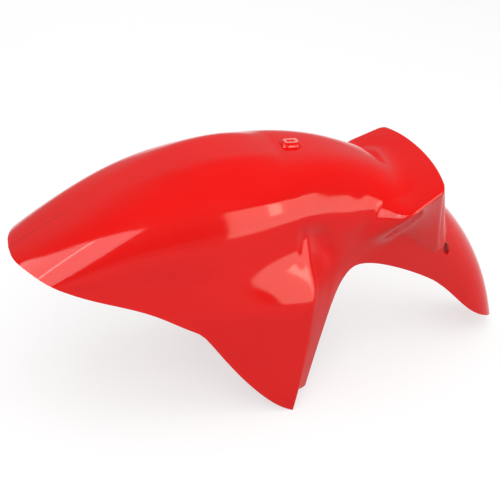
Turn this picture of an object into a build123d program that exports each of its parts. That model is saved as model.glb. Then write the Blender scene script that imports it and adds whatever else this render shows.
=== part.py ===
from build123d import *
import math
import os

# One-piece moulded front mudguard of a motorcycle, in millimetres.
# X points to the rear, Y to the right, Z up. While the shell is being shaped, the wheel axle is the
# origin. At the end the shell is moved so that it stands on Z = 0, centred in X.

# Moulding
WALL = 2.5
SECTION_POWER = 2.4
SKIRT_DRAFT = 0.06

# Crown body, from nose to tail. The section planes hinge on a low line ahead of the axle plane
# and on the axle behind it, so they fan out along the wheel.
# Each station: tilt in degrees to the rear, height of the crown over the hinge, half width,
# drop of the shoulder, outward draft of the flank below it
LOW_HINGE = -350.0
CROWN_DEPTH = 185.0
HOLLOW_FAN = 200.0
CROWN_STATIONS = [
    (-28, 658, 68, 22, 0.06),
    (-22, 663, 76, 22, 0.06),
    (-15, 672, 83, 23, 0.06),
    (-8, 676, 85, 24, 0.06),
    (0, 673, 80, 26, 0.06),
    (9, 322, 75, 28, -0.06),
    (20, 317, 74, 32, -0.12),
    (35, 310, 61, 42, -0.06),
    (55, 298, 47, 45, 0),
    (75, 288.5, 43, 43, 0),
    (84, 286.5, 41, 41, 0),
]

# Raised spine on the nose. Each station: tilt, half width, rise over the crown
SPINE_STATIONS = [
    (-18, 10, -2),
    (-12, 27, 1.5),
    (-6, 36, 4.5),
    (-2, 34, 4.5),
    (-0.3, 14, -2),
]
SPINE_BURY = 6.0

# Skirts in front of the fork legs. Each station: tilt, start and end of the flare over the low
# hinge, half width at its start and at its end
SKIRT_STATIONS = [
    (-18, 597, 512, 83, 90),
    (-11, 601, 528, 88, 101),
    (-4, 596, 536, 87, 114),
    (3, 585, 538, 76, 119),
    (9, 580, 538, 66, 121),
]
SKIRT_BURY = 8.0
SKIRT_FOOT = 370.0
SKIRT_INNER = 20.0

# Return flange behind each skirt. Each level: height, fold line in X and Y, slope of the flange in plan
FLANGE_LEVELS = [
    (10, -24, 125, 0.7),
    (106, -4, 122, 0.75),
    (174, 8, 118, 0.82),
    (204, 15, 108, 0.82),
    (225, 13, 87, 0.82),
    (256, 19, 78, 0.82),
    (345, 34, 78, 0.82),
]

# Channel for the fork leg behind each flange: floor line in plan, and the height of its top
CHANNEL_FLOOR = ((10, 67), (90, 78))
CHANNEL_TOP = 256.0

# Wing behind the fork legs. Each station: X, fold edge in Y and Z, crease towards the crown in Y and Z,
# height of the middle, lower edge in Y and Z, length of the rounding at the fold
WING_FRONT = [
    (56, 68, 256, 56, 286, 288, 50, 205, 16),
    (76, 77, 256, 65, 285.5, 286.5, 58, 205, 17),
    (93, 92, 258, 69, 284, 284, 58, 209, 13),
    (108, 106.5, 262.5, 69, 282, 281, 54, 215, 8),
]
WING_REAR = [
    (124, 103.5, 271, 64, 277, 276, 51, 217, 5),
    (194, 83.5, 305, 42, 305.5, 305.5, 42, 143, 4),
]
LIP_X = 174.0
LIP_RADIUS = 380.0
LIP_TILT = 5.6
LIP_HEIGHT = 296.0

# Lower edge in side view, from the nose over the skirt, the flange and the fork arch to the tail
NOSE_EDGE = [
    (-330, 243),
    (-294, 240),
    (-283, 240),
    (-265, 231.5),
    (-237, 217),
    (-197, 202),
    (-156, 185),
    (-121, 166.5),
    (-110, 159.5),
    (-98, 144),
    (-55, 87.5),
    (-26, 64),
]
SKIRT_TIP = (-14, 58.5)
FLANGE_HEEL = (-8, 85)
FLANGE_TIP = (10, 66)
ARCH_EDGE = [
    (23, 90),
    (38, 120),
    (51, 152),
    (61, 175.5),
    (73, 193.5),
    (83, 197),
    (113, 188.5),
    (162, 163),
    (191, 142),
    (239, 94.5),
    (257, 83),
    (277, 72),
    (330, 52),
]

# Slotted boss on the crown
BOSS_X = 18.0
BOSS_BASE = (22.0, 18.0)
BOSS_TOP = (17.0, 13.0)
BOSS_HEIGHT = 4.5
BOSS_BURY = 5.0
BOSS_CORNER = 4.0
BOSS_SLOT = (9.0, 5.0, 4.0)

# Upright slot in each tail flank
SLOT_X = 191.0
SLOT_Z = 193.0
SLOT_WIDTH = 7.0
SLOT_LENGTH = 16.0

SIDE_REACH = 220.0


def hinge_of(tilt):
    return LOW_HINGE if tilt <= 0 else 0.0


def in_section(hinge, tilt, y, radius):
    """Point of a tilted section plane, from its side distance and its distance to the hinge."""
    angle = math.radians(tilt)
    return Vector(radius * math.sin(angle), y, hinge + radius * math.cos(angle))


def crown_profile(half_width, drop, depth, draft):
    """Half profile as side distance and depth: a superelliptic crown, then a drafted flank."""
    profile = []
    for turn in (0, 25, 45, 62, 77, 90):
        angle = math.radians(turn)
        y = half_width * math.sin(angle) ** (2 / SECTION_POWER)
        down = drop * (1 - max(math.cos(angle), 0) ** (2 / SECTION_POWER))
        profile.append((y, down))
    for share in (0.4, 1.0):
        down = drop + share * (depth - drop)
        profile.append((half_width + draft * (down - drop), down))
    return profile


def crown_section(tilt, radius, half_width, drop, draft, inset):
    tilt *= 1 + inset / HOLLOW_FAN
    profile = crown_profile(half_width - inset, drop, CROWN_DEPTH + inset, draft)
    right = [in_section(hinge_of(tilt), tilt, y, radius - inset - down) for y, down in profile]
    left = [Vector(p.X, -p.Y, p.Z) for p in reversed(right[1:])]
    skin = Spline(*(left + right))
    return make_face([skin, Line(right[-1], left[0])])


def crown_body(inset):
    return loft([crown_section(*station, inset) for station in CROWN_STATIONS])


def crown_at(tilt):
    """Crown height, half width and drop of the shoulder between two stations."""
    for front, rear in zip(CROWN_STATIONS, CROWN_STATIONS[1:]):
        if front[0] <= tilt <= rear[0]:
            share = (tilt - front[0]) / (rear[0] - front[0])
            return [a + share * (b - a) for a, b in zip(front[1:4], rear[1:4])]


def spine_section(tilt, half_width, rise, inset):
    """Section of the spine: a low arch whose sides run down into the crown."""
    radius, crown_width, drop = crown_at(tilt)
    share = (half_width / crown_width) ** SECTION_POWER
    edge = radius - drop * (1 - (1 - share) ** (1 / SECTION_POWER))
    side = half_width - inset
    outline = [(-side, edge + 0.6 * rise), (0, radius + rise), (side, edge + 0.6 * rise)]
    arch = [in_section(LOW_HINGE, tilt, y, r - inset) for y, r in outline]
    foot = [in_section(LOW_HINGE, tilt, y, edge - SPINE_BURY - inset) for y in (side + 3, -side - 3)]
    return make_face([ThreePointArc(*arch), *Polyline(arch[-1], *foot, arch[0]).edges()])


def spine(inset):
    return loft([spine_section(*station, inset) for station in SPINE_STATIONS])


def skirt_section(tilt, start, end, top_width, foot_width, inset):
    """Section of the right skirt: an S-shaped flare off the flank, then a drafted wall."""
    flare = []
    for share in (0, 0.25, 0.5, 0.75, 1):
        ease = share * share * (3 - 2 * share)
        y = top_width + (foot_width - top_width) * ease - SKIRT_BURY * (1 - share) ** 2
        radius = start + SKIRT_BURY + (end - start - SKIRT_BURY) * share
        flare.append(in_section(LOW_HINGE, tilt, y - inset, radius - inset))
    foot = SKIRT_FOOT - inset
    foot_y = foot_width + SKIRT_DRAFT * (end - inset - foot) - inset
    foot_corner = in_section(LOW_HINGE, tilt, foot_y, foot)
    inner_y = SKIRT_INNER - inset
    inner_foot = in_section(LOW_HINGE, tilt, inner_y, foot)
    inner_top = in_section(LOW_HINGE, tilt, inner_y, start + SKIRT_BURY - inset)
    skin = Spline(*flare, tangents=(flare[1] - flare[0], foot_corner - flare[-1]))
    rest = Polyline(flare[-1], foot_corner, inner_foot, inner_top, flare[0])
    return make_face([skin, *rest.edges()])


def behind_flange(inset):
    """Everything behind the return flange of the right skirt."""
    faces = []
    for height, fold_x, fold_y, slope in FLANGE_LEVELS:
        shift = inset * math.hypot(1, slope)
        outer_x = fold_x - slope * (SIDE_REACH - fold_y) - shift
        inner_x = fold_x + slope * fold_y - shift
        ring = Polyline(
            (outer_x, SIDE_REACH, height),
            (inner_x, 0, height),
            (2 * SIDE_REACH, 0, height),
            (2 * SIDE_REACH, SIDE_REACH, height),
            close=True,
        )
        faces.append(make_face(ring.edges()))
    return loft(faces, ruled=True)


def skirts(inset):
    right = loft([skirt_section(*station, inset) for station in SKIRT_STATIONS])
    right -= behind_flange(inset)
    return [right, mirror(right, Plane.XZ)]


def fork_channels(inset):
    """What the fork legs take out of the flanks, up to the top of the channels."""
    (front_x, front_y), (rear_x, rear_y) = CHANNEL_FLOOR
    floor = Polyline(
        (front_x, front_y - inset),
        (rear_x, rear_y - inset),
        (rear_x, SIDE_REACH),
        (front_x, SIDE_REACH),
        close=True,
    )
    right = extrude(make_face(floor.edges()), CHANNEL_TOP + inset) & behind_flange(inset)
    return [right, mirror(right, Plane.XZ)]


def wing_section(x, fold_y, fold_z, crease_y, crease_z, middle_z, low_y, low_z, rounding, inset):
    """Section of the wing: a scooped top, a rounded fold on both sides and a facet under it."""
    fold = Vector(x, fold_y - inset, fold_z - inset)
    crease = Vector(x, crease_y - inset, crease_z - inset)
    low = Vector(x, low_y - inset, low_z + inset)
    along_top = (crease - fold).normalized()
    along_facet = (low - fold).normalized()
    bisector = (along_top + along_facet).normalized()
    half_angle = math.acos(bisector.dot(along_top))
    on_top = fold + along_top * rounding
    on_facet = fold + along_facet * rounding
    on_fold = fold + bisector * (rounding * (1 / math.cos(half_angle) - math.tan(half_angle)))
    right = [crease, on_top, on_fold, on_facet, low]
    left = [Vector(p.X, -p.Y, p.Z) for p in right]
    top = Spline(
        left[1],
        left[0],
        Vector(x, 0, middle_z - inset),
        right[0],
        right[1],
        tangents=(Vector(0, -along_top.Y, along_top.Z), -along_top),
    )
    folds = [ThreePointArc(*right[1:4]), ThreePointArc(*left[1:4])]
    under = Polyline(right[3], right[4], left[4], left[3])
    return make_face([top, *folds, *under.edges()])


def wing(inset):
    front = [wing_section(*station, inset) for station in WING_FRONT]
    rear = [wing_section(*station, inset) for station in WING_FRONT[-1:] + WING_REAR]
    block = loft(front) + loft(rear, ruled=True)
    rear_wall = Cylinder(LIP_RADIUS - inset, 4 * SIDE_REACH).moved(
        Location((LIP_X - LIP_RADIUS, 0, LIP_HEIGHT), (0, -LIP_TILT, 0))
    )
    return block & rear_wall


def crown_height(x):
    """Height of the crown over the axle, between the top of the wheel and the next station."""
    heights = [in_section(hinge_of(s[0]), s[0], 0, s[1]) for s in CROWN_STATIONS if 0 <= s[0] <= 9]
    return heights[0].Z + (heights[1].Z - heights[0].Z) * (x / heights[1].X) ** 2


def whole_body(inset):
    body = crown_body(inset) + spine(inset)
    for channel in fork_channels(inset):
        body -= channel
    for piece in skirts(inset) + [wing(inset)]:
        body += piece
    return body


def below_edge():
    """Everything under the lower edge, as seen from the side."""
    nose = Spline(*NOSE_EDGE, SKIRT_TIP)
    heel = Polyline(SKIRT_TIP, FLANGE_HEEL, FLANGE_TIP)
    arch = Spline(FLANGE_TIP, *ARCH_EDGE)
    close = Polyline(ARCH_EDGE[-1], (ARCH_EDGE[-1][0], -300), (NOSE_EDGE[0][0], -300), NOSE_EDGE[0])
    face = make_face([nose, *heel.edges(), arch, *close.edges()])
    return extrude(Plane.XZ * face, SIDE_REACH, both=True)


def boss():
    base = Plane.XY.offset(crown_height(BOSS_X) - BOSS_BURY) * RectangleRounded(*BOSS_BASE, BOSS_CORNER)
    top = Plane.XY.offset(crown_height(BOSS_X) + BOSS_HEIGHT) * RectangleRounded(*BOSS_TOP, BOSS_CORNER)
    slot = Pos(0, 0, crown_height(BOSS_X) + BOSS_HEIGHT) * Box(*BOSS_SLOT[:2], 2 * BOSS_SLOT[2])
    return Pos(BOSS_X, 0, 0) * (loft([base, top]) - slot)


def flank_slots():
    outline = Rot(0, 0, 90) * SlotOverall(SLOT_LENGTH, SLOT_WIDTH)
    return extrude(Plane.XZ * Pos(SLOT_X, SLOT_Z) * outline, SIDE_REACH, both=True)


def build():
    outer = whole_body(0)
    inner = whole_body(WALL)
    shell = outer - inner
    shell -= below_edge()
    shell += boss()
    shell -= flank_slots()
    box = shell.bounding_box()
    return Pos(-box.center().X, 0, -box.min.Z) * shell


os.makedirs("parts", exist_ok=True)
export_step(build(), "parts/mudguard.step")
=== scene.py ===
import math

import bmesh
import bpy
import numpy as np
from bpy.props import FloatProperty, FloatVectorProperty, PointerProperty
from mathutils import Matrix, Vector


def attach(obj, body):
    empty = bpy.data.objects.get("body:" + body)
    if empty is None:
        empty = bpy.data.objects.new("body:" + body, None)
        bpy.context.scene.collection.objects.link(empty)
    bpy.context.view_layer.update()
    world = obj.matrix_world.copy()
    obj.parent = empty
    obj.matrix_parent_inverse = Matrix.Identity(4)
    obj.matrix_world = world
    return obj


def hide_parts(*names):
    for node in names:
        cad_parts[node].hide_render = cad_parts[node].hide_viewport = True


bl_info = {
    "name": "Motorcycle Front Mudguard",
    "version": (1, 0, 0),
    "blender": (4, 5, 0),
    "location": "View3D > Sidebar > Mudguard",
    "description": "Finished skin, boss and studio stage of a moulded front mudguard",
    "category": "Object",
}

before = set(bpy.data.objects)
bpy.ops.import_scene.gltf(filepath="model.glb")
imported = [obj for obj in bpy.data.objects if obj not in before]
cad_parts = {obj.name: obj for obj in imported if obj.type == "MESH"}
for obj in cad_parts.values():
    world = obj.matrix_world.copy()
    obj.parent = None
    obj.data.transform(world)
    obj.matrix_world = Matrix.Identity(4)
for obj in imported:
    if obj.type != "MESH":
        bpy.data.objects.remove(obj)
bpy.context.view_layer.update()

# The shell is worked out in millimetres with the wheel axle as origin, X to the rear and Z up.
# This is the place of the axle in the frame of the part.
MM = 0.001
AXLE = (7.146, 0.0, -58.5)

# Crown body: tilt of the section in degrees, height of the crown over the hinge, half width, drop of the
# shoulder, draft of the flank, fullness of the rounding across the crown and down the flank (2 and 2 make
# an ellipse). The sections hinge on a low line ahead of the axle, and on the axle behind it.
LOW_HINGE = -350.0
FRONT_RUN = 673.0
REAR_RUN = 323.0
CROWN_STATIONS = [
    (-28, 660, 70, 28, 0.1, 1.9, 2.0),
    (-22, 664.5, 80, 45, 0.14, 4.2, 1.8),
    (-15, 673, 91, 75, 0.14, 5.4, 1.7),
    (-8, 676, 96.5, 90, 0.1, 5.2, 1.7),
    (0, 672.5, 90, 66, 0, 4.6, 1.8),
    (9, 322, 82.5, 70, -0.03, 3.8, 1.9),
    (20, 318, 73, 46, -0.1, 2.6, 2.2),
    (35, 310, 61, 42, -0.06, 2.4, 2.4),
    (55, 298, 47, 45, 0, 2.4, 2.4),
    (75, 288.5, 43, 43, 0, 2.4, 2.4),
    (84, 286.5, 41, 41, 0, 2.4, 2.4),
]

# Raised spine on the nose: tilt, half width, rise over the crown, then the reach over which its sides run out
SPINE_STATIONS = [
    (-20, 30, 0),
    (-12, 40, 3.8),
    (-6, 46, 7.2),
    (-2.6, 44, 5.4),
    (0, 36, 0),
]
SPINE_EDGE = 36.0

# Skirts: tilt, start and end of the flare over the low hinge, half width at its start and end. Above its
# start a skirt is buried in the flank and runs in at a slope, below its end it has the draft of the mould.
SKIRT_STATIONS = [
    (-25, 588, 505, 58, 70),
    (-18, 592, 508, 74, 87),
    (-11, 604, 520, 90, 102),
    (-4, 612, 520, 93, 115),
    (3, 615, 525, 84, 118),
    (9, 615, 525, 78, 120),
]
SKIRT_BURY = 8.0
SKIRT_DRAFT = 0.06
SKIRT_RUN_IN = 0.2

# Return flange behind each skirt: height, fold line in X and Y, slope of the flange in plan
FLANGE_LEVELS = [
    (10, -24, 125, 0.7),
    (106, -4, 122, 0.75),
    (174, 8, 118, 0.82),
    (204, 14, 108.5, 0.82),
    (225, 11.5, 99, 0.82),
    (256, 7.5, 88.5, 0.82),
    (300, 0, 76, 0.82),
    (345, -5, 71, 0.82),
]

# Groove for the fork leg: its depth line in plan, the height of its top, the reach over which it fades out
# and the softness of its edge
GROOVE_LINE = ((8, 76), (40, 81))
GROOVE_TOP = 258.0
GROOVE_FADE = 12.0
GROOVE_SOFTNESS = 10.0

# Wing: X, fold in Y and Z, half width of the flat top, height of the middle, low point of the facet in Y and
# Z. Then the share of the flat top at which the scoop starts and how far past the fold it runs, where along
# X the wing starts to grow and over which length, and the place in Y and Z at which that is read.
WING_STATIONS = [
    (56, 68, 256, 56, 288, 50, 205),
    (76, 77, 256, 65, 286.5, 58, 205),
    (93, 92, 258, 69, 284, 58, 209),
    (108, 106.5, 262.5, 69, 281, 54, 215),
    (124, 103.5, 271, 64, 276, 51, 217),
    (150, 96, 283.6, 56, 287, 47.7, 189.5),
    (174, 89.2, 295.3, 48.3, 297.1, 44.6, 164),
    (194, 83.5, 305, 42, 305.5, 42, 143),
]
SCOOP_START = 0.7
SCOOP_REACH = 1.2
WING_START = 76.0
WING_GROWTH = 34.0
WING_PLACE = (90.0, 265.0)

# Facet under the fold: place in Y and Z from which its foot is sought, and the least share of it that shows
FACET_PLACE = (70.0, 230.0)
FACET_LEAST = 0.25

# Lip of the wing: place in X and radius in plan, height at which that holds, lean to the rear, rounding of
# its corners, and how far behind it the foot of its rear wall is
LIP_X = 174.0
LIP_RADIUS = 380.0
LIP_HEIGHT = 296.0
LIP_LEAN = 0.098
LIP_CORNER = 5.0
WALL_DEPTH = 10.0

# Box round the front corner of the wing in which the skin is smoothed, how often and by which share, and how
# far the box shrinks each time
WING_FRONT = ((66, 30, 200), (126, 125, 310))
WING_FRONT_PASSES = 16
WING_FRONT_SHARE = 0.5
WING_FRONT_STEP = 1.0

# Chamfer of the fold: where in X it narrows, and how much wider it is ahead of that
FOLD_FRONT = (104.0, 132.0)
FOLD_GROWTH = 2.6

# Lower edge in side view: nose and skirt, the heel behind the skirt, then the fork arch and the tail
NOSE_EDGE = [
    (-330, 243),
    (-294, 242),
    (-283, 241.2),
    (-265, 233),
    (-237, 218.5),
    (-197, 204),
    (-156, 188),
    (-121, 168.5),
    (-110, 161.5),
    (-98, 145.5),
    (-55, 88.5),
    (-26, 64),
    (-14, 58.5),
]
FLANGE_HEEL = (-8, 85)
ARCH_EDGE = [
    (10, 66),
    (20, 90),
    (33.5, 120),
    (45.5, 152),
    (55.5, 176),
    (68.5, 194),
    (83, 197),
    (113, 188.5),
    (162, 163),
    (191, 142),
    (239, 94.5),
    (257, 83),
    (277, 72),
    (330, 52),
]

# Slotted boss on the crown: place along the part, height, then half length, half width and height of each
# outline of its skin from the foot up, over the rounded rim and down into the slot. Its corners have the
# given fullness (2 makes an ellipse), and its rim gets a painted highlight between the two heights.
BOSS_X = 18.0
BOSS_Z = 322.0
BOSS_RINGS = [
    (11.5, 9.5, -3.0),
    (11.2, 9.2, 0.4),
    (9.4, 7.4, 3.4),
    (8.9, 6.9, 4.2),
    (6.8, 5.0, 4.6),
    (5.0, 3.2, 4.6),
    (4.7, 2.7, 4.3),
    (4.5, 2.5, 3.6),
    (4.4, 2.4, 0.6),
]
BOSS_FULLNESS = 4.0
BOSS_HIGHLIGHT = (4.3, 4.55)
BOSS_POINTS = 48

# Slot through each flank of the tail: middle in X and Z, half length and half width, lean in degrees, and the
# reach round it in which the mesh is cut finer
SLOT_PLACE = (191.5, 193.0)
SLOT_SIZE = (8.6, 4.2)
SLOT_LEAN = 12.0
SLOT_REACH = 22.0
SLOT_CUTS = 4

# Painted shade: dark line along the middle of the nose, with half widths of its soft edge and of its dark
# core, and where in X it fades out
SHADE_LINE_WIDTH = (0.9, 0.27)
SHADE_LINE_END = (-238.0, -222.0)

# Clouds in the plastic: scale and detail for its colour, its gloss and its ripple, the part of the noise that
# counts, and how much rougher the dullest clouds are
COLOUR_CLOUD = (14.0, 3.0)
GLOSS_CLOUD = (45.0, 6.0)
RIPPLE_CLOUD = (160.0, 1.0)
CLOUD_REACH = (0.3, 0.7)
GLOSS_SPREAD = 1.6

# Satin face of the return flange: name of the skin's own value for it, mesh lines behind the ridge over which
# it starts and ends, and the heights over which it fades out
SATIN_LAYER = "satin"
SATIN_START = 2
SATIN_END = (12, 20)
SATIN_TOP = (222.0, 240.0)

# Stage: point the lamps aim at, then for each lamp its angle from the front to the right and its height angle
# in degrees, its distance, width and height in metres, its power and its colour. Boxes show in the gloss,
# fills light the part.
LAMP_AIM = (0.0, 0.0, 0.17)
BOXES = {
    "right_box": (24.5, 13, 1.3, 0.96, 0.74, 12.2, (1, 0.94, 0.78)),
    "right_core": (20, 18, 1.25, 0.12, 0.4, 1.2, (1, 0.94, 0.78)),
    "left_box": (-73, 25, 1.3, 2.5, 0.95, 45.0, (1, 0.97, 0.92)),
    "left_core": (-61, 30, 1.25, 0.06, 0.55, 1.4, (1, 0.97, 0.92)),
}
FILLS = {
    "overhead": (0, 88, 2.2, 2.6, 2.6, 21.5, (1, 1, 1)),
    "front": (-16, 36, 2.0, 1.6, 1.6, 20.5, (1, 1, 1)),
    "side": (62, 24, 2.0, 1.6, 1.6, 9.0, (1, 1, 1)),
    "back": (180, 35, 2.2, 1.8, 1.8, 9.0, (1, 1, 1)),
}

# Brightness of the sky, of the floor to the eye and of what the floor throws back, and half size of the
# floor in metres
SKY = 0.4
FLOOR_GLOW = 0.62
FLOOR_BOUNCE = 0.4
FLOOR_SIZE = 40.0

# Camera: its place and the point it looks at in metres, its lens and its sensor in millimetres
CAMERA_PLACE = (-0.33045, -1.0572, 0.7505)
CAMERA_AIM = (-0.02071, 0.0, 0.13891)
CAMERA_LENS = 79.96
CAMERA_SENSOR = 36.0

# Mesh lines of one half: along the nose, the groove of the fork leg, the wing, its rear wall and the tail,
# and across the crown, the wing top, the facet and the flank
NOSE_LINES = 64
GROOVE_LINES = 22
WING_LINES = 28
WALL_SHARES = (0.03, 0.12, 0.35, 0.65, 0.88, 0.97)
TAIL_LINES = 40
CROWN_LINES = 26
TOP_LINES = 8
FACET_LINES = 8
FLANK_LINES = 12
SIDE_LINES = TOP_LINES + FACET_LINES + FLANK_LINES

# Spread of the lines: how much they gather at both ends of the nose, and the powers that gather them behind
# the ridge, at the lip and at the tip of the tail
NOSE_GATHER = 0.8
GROOVE_GATHER = 1.4
WING_GATHER = 1.2
TAIL_GATHER = 1.4

# Spread of the points on a line: power that spreads them over the crown, most of the line that the crown
# takes, flank height of one step of girth, and the most girth
CROWN_SPREAD = 0.4
CROWN_MOST = 0.75
GIRTH_STEP = 100.0
GIRTH_MOST = 3.4

# Share of the crown at which it starts to blend into the side, and over which share it does
SHOULDER_SHARE = 0.6
SHOULDER_BLEND = 0.25

# Tail: run along the crown from which its foot and its tip are sought, shares of the facet's girth at which
# the crown and the wing top end on its foot, most of the girth for crown, top and facet, and the share of the
# tail by which the points are evenly spread again
TAIL_FOOT = 210.0
TAIL_TIP = 300.0
TAIL_MARKS = (0.5, 0.7)
TAIL_LIMITS = (0.7, 0.8, 0.9)
TAIL_SETTLE = 0.5

# Nose: places in X between which its tip is sought
NOSE_REACH = (-320.0, -260.0)

# Rounds in which a place is sought, and a point on the crown, the wing, its facet and the tail
SOLVE_ROUNDS = 28
CROWN_ROUNDS = 7
WING_ROUNDS = 6
FACET_ROUNDS = 4
TAIL_ROUNDS = 14

# Reach within which the halves meet in the middle and double points merge, and the sharpest bend of the skin
# that isn't a rim
MIRROR_REACH = 0.01
MERGE_REACH = 0.02
RIM_ANGLE = 40.0


class Guide:
    """Smooth curve through stations, each a place and its values."""

    def __init__(self, stations):
        self.places = np.array([station[0] for station in stations], dtype=float)
        self.values = np.array([station[1:] for station in stations], dtype=float)
        self.gaps = np.diff(self.places)
        steps = np.diff(self.values, axis=0) / self.gaps[:, None]
        matrix = np.eye(len(stations))
        right = np.zeros_like(self.values)
        for i in range(1, len(stations) - 1):
            matrix[i, i - 1] = self.gaps[i - 1]
            matrix[i, i] = 2 * (self.gaps[i - 1] + self.gaps[i])
            matrix[i, i + 1] = self.gaps[i]
            right[i] = 6 * (steps[i] - steps[i - 1])
        self.bends = np.linalg.solve(matrix, right)

    def __call__(self, place):
        place = min(max(place, self.places[0]), self.places[-1])
        i = min(max(int(np.searchsorted(self.places, place)) - 1, 0), len(self.gaps) - 1)
        after = (place - self.places[i]) / self.gaps[i]
        before = 1 - after
        bend = (before**3 - before) * self.bends[i] + (after**3 - after) * self.bends[i + 1]
        return before * self.values[i] + after * self.values[i + 1] + bend * self.gaps[i] ** 2 / 6


def mix(a, b, share):
    """Value at a share of the way from one value to another."""
    return a + (b - a) * share


def ease(share):
    """Smooth step from 0 to 1."""
    share = min(max(share, 0.0), 1.0)
    return share * share * (3 - 2 * share)


def soft_max(a, b, reach):
    """The larger of two values, with a soft change-over of the given reach."""
    near = max(reach - abs(a - b), 0.0)
    return max(a, b) + near * near / (4 * reach)


def soft_min(a, b, reach):
    """The smaller of two values, with a soft change-over of the given reach."""
    return -soft_max(-a, -b, reach)


def solve(function, low, high):
    """Place between low and high at which a falling function passes zero."""
    for _ in range(SOLVE_ROUNDS):
        middle = (low + high) / 2
        if function(middle) > 0:
            low = middle
        else:
            high = middle
    return (low + high) / 2


def run_of_tilt(tilt):
    """Distance along the crown, from the top of the wheel to the section at a tilt."""
    return math.radians(tilt) * (FRONT_RUN if tilt <= 0 else REAR_RUN)


def hinge_at(x):
    """Height of the line that the sections hinge on."""
    return LOW_HINGE if x <= 0 else 0.0


def run_at(x, z):
    """Distance along the crown, from the top of the wheel to the section through a point."""
    turn = math.atan2(x, z - hinge_at(x))
    return turn * (FRONT_RUN if x <= 0 else REAR_RUN)


def reach_at(x, z):
    """Height of a point over the axle, measured in its tilted section."""
    return math.hypot(x, z - hinge_at(x)) + hinge_at(x)


def height_over(x, reach):
    """Height in Z of a point at a height over the axle in its tilted section."""
    return hinge_at(x) + math.sqrt(max((reach - hinge_at(x)) ** 2 - x * x, 0.0))


def crown_station(tilt, height, *rest):
    """Station of the crown by its run, with its height over the axle."""
    return run_of_tilt(tilt), height + (LOW_HINGE if tilt <= 0 else 0), *rest


CROWN = Guide([crown_station(*station) for station in CROWN_STATIONS])
SPINE = Guide([(run_of_tilt(tilt), width, rise) for tilt, width, rise in SPINE_STATIONS])
SKIRT = Guide(SKIRT_STATIONS)
FLANGE = Guide(FLANGE_LEVELS)
WING = Guide(WING_STATIONS)
NOSE = Guide(NOSE_EDGE)
ARCH = Guide(ARCH_EDGE)


def edge_height(x):
    """Height of the lower edge at a place along the part."""
    tip = NOSE_EDGE[-1]
    heel = FLANGE_HEEL
    arch = ARCH_EDGE[0]
    if x <= tip[0]:
        return NOSE(x)[0]
    if x <= heel[0]:
        return mix(tip[1], heel[1], (x - tip[0]) / (heel[0] - tip[0]))
    if x <= arch[0]:
        return mix(heel[1], arch[1], (x - heel[0]) / (arch[0] - heel[0]))
    return ARCH(x)[0]


def round_share(share, across, down):
    """Sideways and downward share of the rounded crown, at a share of the way round from its middle."""
    turn = math.pi / 2 * share ** (CROWN_SPREAD * across)
    return math.sin(turn) ** (2 / across), 1 - max(math.cos(turn), 0.0) ** (2 / down)


def loaf_width(x, z):
    """Half width of the crown body at a point in side view."""
    reach, half_width, drop, draft, across, down = CROWN(run_at(x, z))
    depth = reach - reach_at(x, z)
    if depth >= drop:
        return half_width + draft * (depth - drop)
    share = 1 - max(depth, 0.0) / drop
    return half_width * (1 - share**down) ** (1 / across)


def skirt_width(x, z):
    """Half width of the flared skirt at a point in side view."""
    tilt = math.degrees(math.atan2(x, z - LOW_HINGE))
    start, end, top, foot = SKIRT(tilt)
    reach = math.hypot(x, z - LOW_HINGE)
    buried = start + SKIRT_BURY
    share = (buried - reach) / (buried - end)
    width = mix(top, foot, ease(share)) - SKIRT_BURY * (1 - min(max(share, 0.0), 1.0)) ** 2
    return width + SKIRT_DRAFT * max(end - reach, 0.0) - SKIRT_RUN_IN * max(reach - buried, 0.0)


def flange_width(x, z):
    """Half width of the return flange behind the skirt at a point in side view."""
    fold_x, fold_y, slope = FLANGE(z)
    return fold_y + (fold_x - x) / slope


def side_width(x, z, sizes):
    """Half width of the whole side: flank, groove, skirt and flange, softly joined."""
    width = loaf_width(x, z)
    (front_x, front_y), (rear_x, rear_y) = GROOVE_LINE
    depth = mix(front_y, rear_y, (x - front_x) / (rear_x - front_x))
    inside = ease((GROOVE_TOP + GROOVE_FADE - z) / (2 * GROOVE_FADE))
    inside *= ease((x - front_x) / GROOVE_FADE + 1)
    inside *= ease((rear_x + GROOVE_FADE - x) / (2 * GROOVE_FADE))
    width = mix(width, soft_min(width, depth, GROOVE_SOFTNESS), inside)
    skirt = soft_min(skirt_width(x, z), flange_width(x, z), sizes.ridge_softness / MM)
    return soft_max(width, skirt, sizes.flare_softness / MM)


def spine_rise(x, y, z):
    """Rise of the spine over the crown."""
    half_width, rise = SPINE(run_at(x, z))
    return max(rise, 0.0) * ease((half_width + SPINE_EDGE / 2 - abs(y)) / SPINE_EDGE)


def wing_top(x, y):
    """Height of the wing's scooped top."""
    fold_y, fold_z, flat_y, middle_z = WING(x)[:4]
    start = SCOOP_START * flat_y
    share = min(max((abs(y) - start) / (fold_y - start), 0.0), SCOOP_REACH)
    return mix(middle_z, fold_z, share * share)


def lip_x(y, z):
    """Rear wall of the wing: curved in plan, leaning back."""
    return LIP_X - LIP_RADIUS + math.sqrt(LIP_RADIUS**2 - y * y) + (LIP_HEIGHT - z) * LIP_LEAN


def wing_edge(x, y, z):
    """Fold and low point of the wing's facet, with the fold rounded in plan to meet the lip."""
    station = WING(x)
    near = min(max(1 - (lip_x(y, z) - x) / LIP_CORNER, 0.0), 1.0)
    fold_y = station[0] - LIP_CORNER * (1 - math.sqrt(1 - near * near))
    return Vector((fold_y, station[1])), Vector(station[4:])


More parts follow.
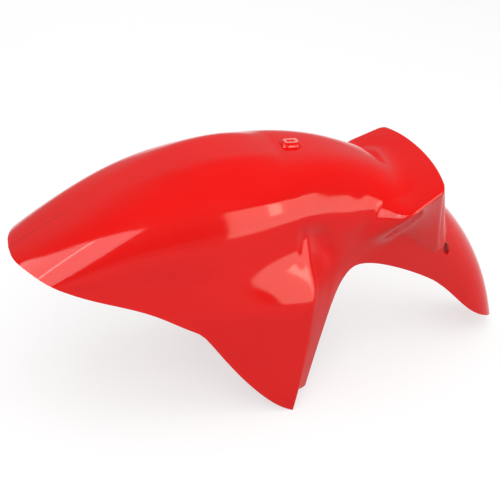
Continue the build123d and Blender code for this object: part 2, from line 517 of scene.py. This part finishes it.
def crown_point(line, share, wing_share, sizes):
    """Point on the crown at a share of the way round, lifted by the spine and the top of the wing."""
    y = 0.0
    z = BOSS_Z
    for _ in range(CROWN_ROUNDS):
        x = line(y, z)
        station = CROWN(run_at(x, z))
        reach, half_width, drop = station[:3]
        side, low = round_share(share, *station[4:])
        y = half_width * side
        z = height_over(x, reach - drop * low)
        z += spine_rise(x, y, z)
        if wing_share > 0:
            z = mix(z, soft_max(z, wing_top(x, y), sizes.crease_softness / MM), wing_share)
        elif share > SHOULDER_SHARE:
            y = mix(y, side_width(x, z, sizes), ease((share - SHOULDER_SHARE) / SHOULDER_BLEND))
    return x, y, z


def girth_point(line, girth, sizes):
    """Point of a mesh line: girth runs to 1 over the crown, then 1 more for each step down the flank."""
    if girth <= 1:
        return crown_point(line, girth, 0.0, sizes)
    x, y, z = crown_point(line, 1.0, 0.0, sizes)
    z -= GIRTH_STEP * (girth - 1)
    x = line(y, z)
    return x, side_width(x, z, sizes), z


def edge_girth(point):
    """Girth at which a mesh line meets the lower edge."""

    def over_edge(girth):
        place = point(girth)
        return place[2] - edge_height(place[0])

    return solve(over_edge, 0.0, GIRTH_MOST)


def plain_marks(end):
    """Girths at which the crown, the top and the facet end on a mesh line, and the line itself."""
    shoulder = min(1.0, CROWN_MOST * end)
    top = mix(shoulder, end, TOP_LINES / SIDE_LINES)
    facet = mix(shoulder, end, (TOP_LINES + FACET_LINES) / SIDE_LINES)
    return [shoulder, top, facet, end]


def spread_girths(marks):
    """Girths of all points of a mesh line, evenly spread between its marks."""
    girths = [0.0]
    for mark, count in zip(marks, (CROWN_LINES, TOP_LINES, FACET_LINES, FLANK_LINES)):
        start = girths[-1]
        girths += [mix(start, mark, i / count) for i in range(1, count + 1)]
    return girths


def plain_line(line, sizes):
    """Points of a mesh line over the nose or the groove."""
    end = edge_girth(lambda girth: girth_point(line, girth, sizes))
    return [girth_point(line, girth, sizes) for girth in spread_girths(plain_marks(end))]


def wing_profile(line, shoulder_y, part, meet, sizes):
    """Point of the wing: part 0 to 1 along its top, to 2 over the chamfered fold, to 3 down the facet."""
    x = line(shoulder_y, LIP_HEIGHT)
    place = Vector((shoulder_y, LIP_HEIGHT))
    wide_x, narrow_x = FOLD_FRONT
    for _ in range(WING_ROUNDS):
        wider = FOLD_GROWTH * (1 - ease((x - wide_x) / (narrow_x - wide_x)))
        chamfer = sizes.fold_chamfer / MM * (1 + wider)
        fold, low = wing_edge(x, place.x, place.y)
        facet = low - fold
        top_y = fold.x - chamfer
        on_top = Vector((top_y, wing_top(x, top_y)))
        on_facet = fold + facet * (chamfer / facet.length)
        if part <= 1:
            y = mix(shoulder_y, top_y, part)
            place = Vector((y, wing_top(x, y)))
        elif part <= 2:
            place = on_top.lerp(on_facet, part - 1)
        else:
            place = on_facet.lerp(fold + facet * meet, part - 2)
        x = line(place.x, place.y)
    return x, place.x, place.y


def facet_meet(line, sizes):
    """Share of the facet at which it meets the flank."""

    def over_flank(share):
        place = Vector(FACET_PLACE)
        for _ in range(FACET_ROUNDS):
            x = line(place.x, place.y)
            fold, low = wing_edge(x, place.x, place.y)
            place = fold.lerp(low, share)
        return place.x - side_width(x, place.y, sizes)

    return max(solve(over_flank, 0.0, 1.0), FACET_LEAST)


def wing_line(line, sizes):
    """Points of a mesh line over the crown, the wing and the flank below it, and the foot of the facet."""
    across = plain_line(line, sizes)
    grown = ease((line(*WING_PLACE) - WING_START) / WING_GROWTH)
    points = [crown_point(line, i / CROWN_LINES, grown, sizes) for i in range(CROWN_LINES + 1)]
    shoulder_y = points[-1][1]
    meet = facet_meet(line, sizes)
    raised = []
    for i in range(1, TOP_LINES + FACET_LINES + 1):
        part = 3 * i / (TOP_LINES + FACET_LINES)
        x, y, z = wing_profile(line, shoulder_y, part, meet, sizes)
        if part > 2:
            y = soft_max(y, side_width(x, z, sizes), sizes.facet_softness / MM)
        raised.append((x, y, z))
    foot = raised[-1]
    y, start = foot[1:]

    def over_edge(share):
        z = mix(start, 0, share)
        return z - edge_height(line(y, z))

    end = solve(over_edge, 0.0, 1.0)
    for i in range(1, FLANK_LINES + 1):
        z = mix(start, 0, end * i / FLANK_LINES)
        x = line(y, z)
        raised.append((x, side_width(x, z, sizes), z))
    for flat, lifted in zip(across[CROWN_LINES + 1 :], raised):
        points.append(tuple(mix(a, b, grown) for a, b in zip(flat, lifted)))
    return points, foot


def tail_point(share, girth, end_run):
    """Point of the tail: share runs from the foot of the wing's rear wall to the tip of the tail."""
    foot = TAIL_FOOT
    run = foot
    for _ in range(TAIL_ROUNDS):
        reach, half_width, drop, draft, across, down = CROWN(run)
        side, low = round_share(min(girth, 1.0), across, down)
        depth = drop * low + GIRTH_STEP * max(girth - 1, 0.0)
        y = half_width * side + draft * max(depth - drop, 0.0)
        turn = foot / REAR_RUN
        foot_reach = CROWN(foot)[0] - depth
        foot += lip_x(y, foot_reach * math.cos(turn)) + WALL_DEPTH - foot_reach * math.sin(turn)
        run = mix(foot, end_run, share)
    turn = run / REAR_RUN
    return (reach - depth) * math.sin(turn), y, (reach - depth) * math.cos(turn)


def tail_lines(meet_height):
    """All mesh lines of the tail."""

    def tip_over_edge(run):
        reach = CROWN(run)[0]
        turn = run / REAR_RUN
        return reach * math.cos(turn) - edge_height(reach * math.sin(turn))

    end_run = solve(tip_over_edge, TAIL_TIP, run_of_tilt(CROWN_STATIONS[-1][0]))
    foot_end = edge_girth(lambda girth: tail_point(0.0, girth, end_run))
    meet = solve(lambda girth: tail_point(0.0, girth, end_run)[2] - meet_height, 0.0, GIRTH_MOST)
    foot_marks = [*(share * meet for share in TAIL_MARKS), meet, foot_end]
    lines = []
    for i in range(TAIL_LINES + 1):
        share = 1 - (1 - i / TAIL_LINES) ** TAIL_GATHER
        end = edge_girth(lambda girth: tail_point(share, girth, end_run))
        settle = ease(share / TAIL_SETTLE)
        marks = [mix(foot, plain, settle) for foot, plain in zip(foot_marks, plain_marks(end))]
        marks = [*(min(mark, limit * end) for mark, limit in zip(marks, TAIL_LIMITS)), end]
        lines.append([tail_point(share, girth, end_run) for girth in spread_girths(marks)])
    return lines


def shell_lines(sizes):
    """All mesh lines of the right half, from the nose to the tail."""

    def nose_over_edge(x):
        reach = CROWN(run_at(x, NOSE_EDGE[1][1]))[0]
        return edge_height(x) - height_over(x, reach)

    nose_x = solve(nose_over_edge, *NOSE_REACH)
    nose_lean = nose_x / (edge_height(nose_x) - LOW_HINGE)
    lines = []
    for i in range(NOSE_LINES):
        part = i / NOSE_LINES
        share = mix(part, ease(part), NOSE_GATHER)
        lines.append(plain_line(lambda y, z: mix(nose_lean * (z - LOW_HINGE), FLANGE(z)[0], share), sizes))
    for i in range(GROOVE_LINES):
        share = (i / GROOVE_LINES) ** GROOVE_GATHER
        lines.append(plain_line(lambda y, z: mix(FLANGE(z)[0], WING_START, share), sizes))
    for i in range(WING_LINES + 1):
        share = 1 - (1 - i / WING_LINES) ** WING_GATHER
        points, meet = wing_line(lambda y, z: mix(WING_START, lip_x(y, z), share), sizes)
        lines.append(points)
    tail = tail_lines(meet[2])
    lip = lines[-1]
    for share in WALL_SHARES:
        lines.append([tuple(mix(a, b, share) for a, b in zip(*pair)) for pair in zip(lip, tail[0])])
    return lines + tail


def satin_share(number, z):
    """How satin the skin is at a height on a mesh line: 1 on the return flange, 0 away from it."""
    behind = number - NOSE_LINES
    along = ease(behind / SATIN_START) * ease((SATIN_END[1] - behind) / (SATIN_END[1] - SATIN_END[0]))
    return along * ease((SATIN_TOP[1] - z) / (SATIN_TOP[1] - SATIN_TOP[0]))


def in_frame(point):
    """Point of the part in metres, from one in millimetres over the axle."""
    return Vector([(value + offset) * MM for value, offset in zip(point, AXLE)])


def boss_turn():
    """Turn that stands the boss square on the crown."""
    return Matrix.Rotation(math.atan2(BOSS_X, BOSS_Z), 3, "Y")


def new_piece(name, mesh, material):
    """Object of a finished mesh, riding on the one body."""
    piece = bpy.data.objects.new(name, mesh)
    bpy.context.collection.objects.link(piece)
    mesh.materials.append(material)
    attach(piece, "root")
    return piece


def cloud(tree, size):
    """Soft noise over the piece, from its own coordinates."""
    place = tree.nodes.new("ShaderNodeTexCoord")
    noise = tree.nodes.new("ShaderNodeTexNoise")
    noise.inputs["Scale"].default_value = size[0]
    noise.inputs["Detail"].default_value = size[1]
    tree.links.new(place.outputs["Object"], noise.inputs["Vector"])
    return noise.outputs[0]


def limited(tree, value, reach, result):
    """Value carried from one range to another and held at its ends."""
    limits = tree.nodes.new("ShaderNodeMapRange")
    limits.inputs["From Min"].default_value = reach[0]
    limits.inputs["From Max"].default_value = reach[1]
    limits.inputs["To Min"].default_value = result[0]
    limits.inputs["To Max"].default_value = result[1]
    tree.links.new(value, limits.inputs["Value"])
    return limits.outputs["Result"]


def painted_centre_shade(tree):
    """Painted shade: a fine dark line along the middle of the nose."""
    place = tree.nodes.new("ShaderNodeTexCoord")
    axes = tree.nodes.new("ShaderNodeSeparateXYZ")
    tree.links.new(place.outputs["Object"], axes.inputs["Vector"])
    aside = tree.nodes.new("ShaderNodeMath")
    aside.operation = "ABSOLUTE"
    tree.links.new(axes.outputs["Y"], aside.inputs[0])
    across = limited(tree, aside.outputs["Value"], [width * MM for width in SHADE_LINE_WIDTH], (0, 1))
    fade = [(x + AXLE[0]) * MM for x in SHADE_LINE_END]
    along = limited(tree, axes.outputs["X"], fade, (1, 0))
    both = tree.nodes.new("ShaderNodeMath")
    both.operation = "MULTIPLY"
    tree.links.new(across, both.inputs[0])
    tree.links.new(along, both.inputs[1])
    return both.outputs["Value"]


def painted_rim_highlight(tree):
    """Painted highlight on the rim of the boss, round the slot."""
    place = tree.nodes.new("ShaderNodeTexCoord")
    offset = tree.nodes.new("ShaderNodeVectorMath")
    offset.operation = "SUBTRACT"
    tree.links.new(place.outputs["Object"], offset.inputs[0])
    offset.inputs[1].default_value = in_frame((BOSS_X, 0, BOSS_Z))
    rise = tree.nodes.new("ShaderNodeVectorMath")
    rise.operation = "DOT_PRODUCT"
    tree.links.new(offset.outputs["Vector"], rise.inputs[0])
    rise.inputs[1].default_value = boss_turn() @ Vector((0, 0, 1))
    return limited(tree, rise.outputs["Value"], [height * MM for height in BOSS_HIGHLIGHT], (0, 1))


def red_plastic(look, name, mark, painted_light_colour):
    """Gloss red moulded plastic with clouds, a faint ripple, satin places and one mark of painted light in
    its own colour: painted shade on the shell, a painted highlight on the boss.
    """
    material = bpy.data.materials.new(name)
    material.use_nodes = True
    tree = material.node_tree
    shader = tree.nodes["Principled BSDF"]
    shader.inputs["Specular IOR Level"].default_value = look.gloss
    colour = tree.nodes.new("ShaderNodeMix")
    colour.data_type = "RGBA"
    colour.inputs["A"].default_value = (*look.red, 1)
    colour.inputs["B"].default_value = (*look.deep_red, 1)
    tree.links.new(limited(tree, cloud(tree, COLOUR_CLOUD), CLOUD_REACH, (0, 1)), colour.inputs["Factor"])
    # Lay the painted shade or painted highlight given by the caller over the plastic's colour
    painted_light_mix = tree.nodes.new("ShaderNodeMix")
    painted_light_mix.data_type = "RGBA"
    painted_light_mix.inputs["B"].default_value = (*painted_light_colour, 1)
    tree.links.new(colour.outputs["Result"], painted_light_mix.inputs["A"])
    tree.links.new(mark(tree), painted_light_mix.inputs["Factor"])
    tree.links.new(painted_light_mix.outputs["Result"], shader.inputs["Base Color"])
    roughnesses = (look.roughness, GLOSS_SPREAD * look.roughness)
    gloss = limited(tree, cloud(tree, GLOSS_CLOUD), CLOUD_REACH, roughnesses)
    satin = tree.nodes.new("ShaderNodeAttribute")
    satin.attribute_name = SATIN_LAYER
    rough = tree.nodes.new("ShaderNodeMix")
    rough.inputs["B"].default_value = look.satin
    tree.links.new(satin.outputs["Fac"], rough.inputs["Factor"])
    tree.links.new(gloss, rough.inputs["A"])
    tree.links.new(rough.outputs["Result"], shader.inputs["Roughness"])
    ripple = tree.nodes.new("ShaderNodeBump")
    ripple.inputs["Strength"].default_value = look.ripple
    ripple.inputs["Distance"].default_value = MM
    tree.links.new(cloud(tree, RIPPLE_CLOUD), ripple.inputs["Height"])
    tree.links.new(ripple.outputs["Normal"], shader.inputs["Normal"])
    return material


class MudguardSizes(bpy.types.PropertyGroup):
    """Wall, roundings and soft joins of the skin"""

    wall: FloatProperty(name="Wall", description="Thickness of the wall", default=0.0025, unit="LENGTH")
    rim_rounding: FloatProperty(name="Rim", description="Rounding of the rim", default=0.0007, unit="LENGTH")
    ridge_softness: FloatProperty(
        name="Ridge", description="Softness of the ridge behind the skirt", default=0.004, unit="LENGTH"
    )
    flare_softness: FloatProperty(
        name="Flare", description="Softness of the join of flank and skirt", default=0.012, unit="LENGTH"
    )
    crease_softness: FloatProperty(
        name="Crease", description="Softness of the join of crown and wing", default=0.02, unit="LENGTH"
    )
    facet_softness: FloatProperty(
        name="Facet", description="Softness of the join of facet and flank", default=0.006, unit="LENGTH"
    )
    fold_chamfer: FloatProperty(
        name="Fold", description="Chamfer of the wing's fold", default=0.0036, unit="LENGTH"
    )


class MudguardLook(bpy.types.PropertyGroup):
    """Colours and gloss of the plastic, with the colours of its painted shade line and its painted rim
    highlight
    """

    red: FloatVectorProperty(
        name="Red",
        description="Colour of the plastic",
        default=(0.79, 0.004, 0.002),
        subtype="COLOR",
        size=3,
    )
    deep_red: FloatVectorProperty(
        name="Deep Red",
        description="Colour of its darker clouds",
        default=(0.75, 0.003, 0.002),
        subtype="COLOR",
        size=3,
    )
    # Colour of the painted shade line along the middle of the nose
    shade_line_red: FloatVectorProperty(
        name="Line Red",
        description="Colour of the painted shade line",
        default=(0.42, 0.006, 0.006),
        subtype="COLOR",
        size=3,
    )
    # Colour of the painted highlight on the boss's rim
    rim_highlight_red: FloatVectorProperty(
        name="Rim Red",
        description="Colour of the painted highlight on the boss's rim",
        default=(0.9, 0.26, 0.22),
        subtype="COLOR",
        size=3,
    )
    gloss: FloatProperty(
        name="Gloss", description="Strength of the mirrored light", default=0.25, subtype="FACTOR"
    )
    roughness: FloatProperty(
        name="Roughness", description="Roughness of the skin", default=0.07, subtype="FACTOR"
    )
    satin: FloatProperty(
        name="Satin", description="Roughness of the return flange", default=0.55, subtype="FACTOR"
    )
    ripple: FloatProperty(
        name="Ripple", description="Strength of the ripple in the skin", default=0.02, subtype="FACTOR"
    )


def smooth_wing_front(skin):
    """Let the front corners of the wing flow into the crown and the flank."""
    middle = (in_frame(WING_FRONT[0]) + in_frame(WING_FRONT[1])) / 2
    reach = in_frame(WING_FRONT[1]) - middle
    for number in range(WING_FRONT_PASSES):
        room = reach - Vector((1, 1, 1)) * (number * WING_FRONT_STEP * MM)
        soft = []
        for vertex in skin.verts:
            away = Vector((vertex.co.x, abs(vertex.co.y), vertex.co.z)) - middle
            if all(abs(offset) < limit for offset, limit in zip(away, room)):
                soft.append(vertex)
        bmesh.ops.smooth_vert(
            skin, verts=soft, factor=WING_FRONT_SHARE, use_axis_x=True, use_axis_y=True, use_axis_z=True
        )


def cut_slots(skin):
    """Cut the slot through both flanks of the tail."""
    lean = math.radians(SLOT_LEAN)
    along = Vector((-math.sin(lean), 0, math.cos(lean))) / (SLOT_SIZE[0] * MM)
    across = Vector((math.cos(lean), 0, math.sin(lean))) / (SLOT_SIZE[1] * MM)
    middle = in_frame((SLOT_PLACE[0], 0, SLOT_PLACE[1]))

    def out_of_slot(place):
        return math.hypot((place - middle).dot(along), (place - middle).dot(across))

    def near(place):
        return math.hypot(place.x - middle.x, place.z - middle.z) < SLOT_REACH * MM

    edges = [edge for edge in skin.edges if all(near(vertex.co) for vertex in edge.verts)]
    bmesh.ops.subdivide_edges(skin, edges=edges, cuts=SLOT_CUTS, use_grid_fill=True)
    inside = [face for face in skin.faces if out_of_slot(face.calc_center_median()) < 1]
    bmesh.ops.delete(skin, geom=inside, context="FACES")
    for vertex in skin.verts:
        if vertex.is_boundary and near(vertex.co):
            share = out_of_slot(vertex.co)
            vertex.co.x = mix(middle.x, vertex.co.x, 1 / share)
            vertex.co.z = mix(middle.z, vertex.co.z, 1 / share)


class MUDGUARD_OT_shell(bpy.types.Operator):
    """Build the one-piece shell of the mudguard"""

    bl_idname = "mudguard.shell"
    bl_label = "Shell"

    def execute(self, context):
        sizes = context.scene.mudguard_sizes
        lines = shell_lines(sizes)
        across = len(lines[0])
        mesh = bpy.data.meshes.new("shell")
        skin = bmesh.new()
        satin = skin.verts.layers.float.new(SATIN_LAYER)
        grid = bmesh.ops.create_grid(skin, x_segments=across - 1, y_segments=len(lines) - 1, size=1)
        for i, vertex in enumerate(grid["verts"]):
            point = lines[i // across][i % across]
            vertex.co = in_frame(point)
            vertex[satin] = satin_share(i // across, point[2])
        half = skin.verts[:] + skin.edges[:] + skin.faces[:]
        bmesh.ops.mirror(skin, geom=half, axis="Y", merge_dist=MIRROR_REACH * MM)
        bmesh.ops.remove_doubles(skin, verts=skin.verts[:], dist=MERGE_REACH * MM)
        smooth_wing_front(skin)
        cut_slots(skin)
        bmesh.ops.recalc_face_normals(skin, faces=skin.faces[:])
        for face in skin.faces:
            face.smooth = True
        skin.to_mesh(mesh)
        skin.free()
        look = context.scene.mudguard_look
        # The shell's plastic carries a painted shade line along the middle of the nose.
        piece = new_piece("shell", mesh, red_plastic(look, "red_plastic_shell", painted_centre_shade, look.shade_line_red))
        wall = piece.modifiers.new("wall", "SOLIDIFY")
        wall.thickness = sizes.wall
        wall.offset = -1
        rim = piece.modifiers.new("rim", "BEVEL")
        rim.width = sizes.rim_rounding
        rim.segments = 2
        rim.limit_method = "ANGLE"
        rim.angle_limit = math.radians(RIM_ANGLE)
        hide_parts("mudguard")
        return {"FINISHED"}


class MUDGUARD_OT_boss(bpy.types.Operator):
    """Build the slotted boss on the crown"""

    bl_idname = "mudguard.boss"
    bl_label = "Boss"

    def execute(self, context):
        mesh = bpy.data.meshes.new("boss")
        skin = bmesh.new()
        turn = boss_turn()
        rings = []
        for half_length, half_width, height in BOSS_RINGS:
            ring = bmesh.ops.create_circle(skin, segments=BOSS_POINTS, radius=1)["verts"]
            rings.append([edge for edge in skin.edges if edge.verts[0] in ring])
            for vertex in ring:
                x, y = [math.copysign(abs(value) ** (2 / BOSS_FULLNESS), value) for value in vertex.co.xy]
                place = turn @ Vector((half_length * x, half_width * y, height))
                vertex.co = in_frame(place + Vector((BOSS_X, 0, BOSS_Z)))
        for low, high in zip(rings, rings[1:]):
            bmesh.ops.bridge_loops(skin, edges=low + high)
        bmesh.ops.edgeloop_fill(skin, edges=rings[0])
        bmesh.ops.edgeloop_fill(skin, edges=rings[-1])
        bmesh.ops.recalc_face_normals(skin, faces=skin.faces[:])
        for face in skin.faces:
            face.smooth = len(face.verts) == 4
        skin.to_mesh(mesh)
        skin.free()
        look = context.scene.mudguard_look
        # The boss's plastic carries a painted highlight on its rim.
        new_piece("boss", mesh, red_plastic(look, "red_plastic_boss", painted_rim_highlight, look.rim_highlight_red))
        return {"FINISHED"}


def paper():
    """White paper of the floor: bright to the eye and in mirrored light, darker in what it throws back."""
    material = bpy.data.materials.new("paper")
    material.use_nodes = True
    tree = material.node_tree
    shader = tree.nodes["Principled BSDF"]
    shader.inputs["Roughness"].default_value = 1
    shader.inputs["Specular IOR Level"].default_value = 0
    shader.inputs["Base Color"].default_value = (FLOOR_BOUNCE, FLOOR_BOUNCE, FLOOR_BOUNCE, 1)
    shader.inputs["Emission Color"].default_value = (1, 1, 1, 1)
    path = tree.nodes.new("ShaderNodeLightPath")
    seen = tree.nodes.new("ShaderNodeMath")
    seen.operation = "MULTIPLY_ADD"
    tree.links.new(path.outputs["Is Diffuse Ray"], seen.inputs[0])
    seen.inputs[1].default_value = -FLOOR_GLOW
    seen.inputs[2].default_value = FLOOR_GLOW
    tree.links.new(seen.outputs["Value"], shader.inputs["Emission Strength"])
    return material


def add_lamp(name, side, height, distance, width, tall, power, colour):
    """Soft box that faces the part."""
    light = bpy.data.lights.new(name, "AREA")
    light.shape = "RECTANGLE"
    light.size = width
    light.size_y = tall
    light.energy = power
    light.color = colour
    lamp = bpy.data.objects.new(name, light)
    level = math.cos(math.radians(height))
    toward = Vector(
        (
            math.sin(math.radians(side)) * level,
            -math.cos(math.radians(side)) * level,
            math.sin(math.radians(height)),
        )
    )
    lamp.location = Vector(LAMP_AIM) + toward * distance
    lamp.rotation_euler = toward.to_track_quat("Z", "Y").to_euler()
    bpy.context.collection.objects.link(lamp)
    return lamp


class MUDGUARD_OT_stage(bpy.types.Operator):
    """Set up the floor, the lamps and the camera"""

    bl_idname = "mudguard.stage"
    bl_label = "Stage"

    def execute(self, context):
        scene = context.scene
        floor_mesh = bpy.data.meshes.new("floor")
        floor_shape = bmesh.new()
        bmesh.ops.create_grid(floor_shape, x_segments=1, y_segments=1, size=FLOOR_SIZE)
        floor_shape.to_mesh(floor_mesh)
        floor_shape.free()
        floor = bpy.data.objects.new("floor", floor_mesh)
        context.collection.objects.link(floor)
        floor_mesh.materials.append(paper())
        scene.world = bpy.data.worlds.new("studio")
        scene.world.use_nodes = True
        background = scene.world.node_tree.nodes["Background"]
        background.inputs["Color"].default_value = (1, 1, 1, 1)
        background.inputs["Strength"].default_value = SKY
        for name, place in BOXES.items():
            add_lamp(name, *place).visible_diffuse = False
        for name, place in FILLS.items():
            add_lamp(name, *place).visible_glossy = False
        camera_data = bpy.data.cameras.new("camera")
        camera_data.lens = CAMERA_LENS
        camera_data.sensor_width = CAMERA_SENSOR
        camera = bpy.data.objects.new("camera", camera_data)
        camera.location = CAMERA_PLACE
        aim = Vector(CAMERA_AIM) - camera.location
        camera.rotation_euler = aim.to_track_quat("-Z", "Y").to_euler()
        context.collection.objects.link(camera)
        scene.camera = camera
        scene.view_settings.view_transform = "Standard"
        return {"FINISHED"}


class MUDGUARD_PT_panel(bpy.types.Panel):
    """Sizes, colours and steps of the mudguard"""

    bl_idname = "MUDGUARD_PT_panel"
    bl_label = "Mudguard"
    bl_space_type = "VIEW_3D"
    bl_region_type = "UI"
    bl_category = "Mudguard"

    def draw(self, context):
        for group in (context.scene.mudguard_sizes, context.scene.mudguard_look):
            for name in group.__annotations__:
                self.layout.prop(group, name)
        for operator in STEPS:
            self.layout.operator(operator.bl_idname)


STEPS = (MUDGUARD_OT_shell, MUDGUARD_OT_boss, MUDGUARD_OT_stage)
CLASSES = (MudguardSizes, MudguardLook, *STEPS, MUDGUARD_PT_panel)


def register():
    """Make the groups, the operators and the panel known."""
    for item in CLASSES:
        bpy.utils.register_class(item)
    bpy.types.Scene.mudguard_sizes = PointerProperty(type=MudguardSizes)
    bpy.types.Scene.mudguard_look = PointerProperty(type=MudguardLook)


def unregister():
    """Take the panel, the operators and the groups away again."""
    del bpy.types.Scene.mudguard_look
    del bpy.types.Scene.mudguard_sizes
    for item in reversed(CLASSES):
        bpy.utils.unregister_class(item)


def main():
    """Build the whole scene."""
    register()
    bpy.ops.mudguard.shell()
    bpy.ops.mudguard.boss()
    bpy.ops.mudguard.stage()


if __name__ == "__main__":
    main()
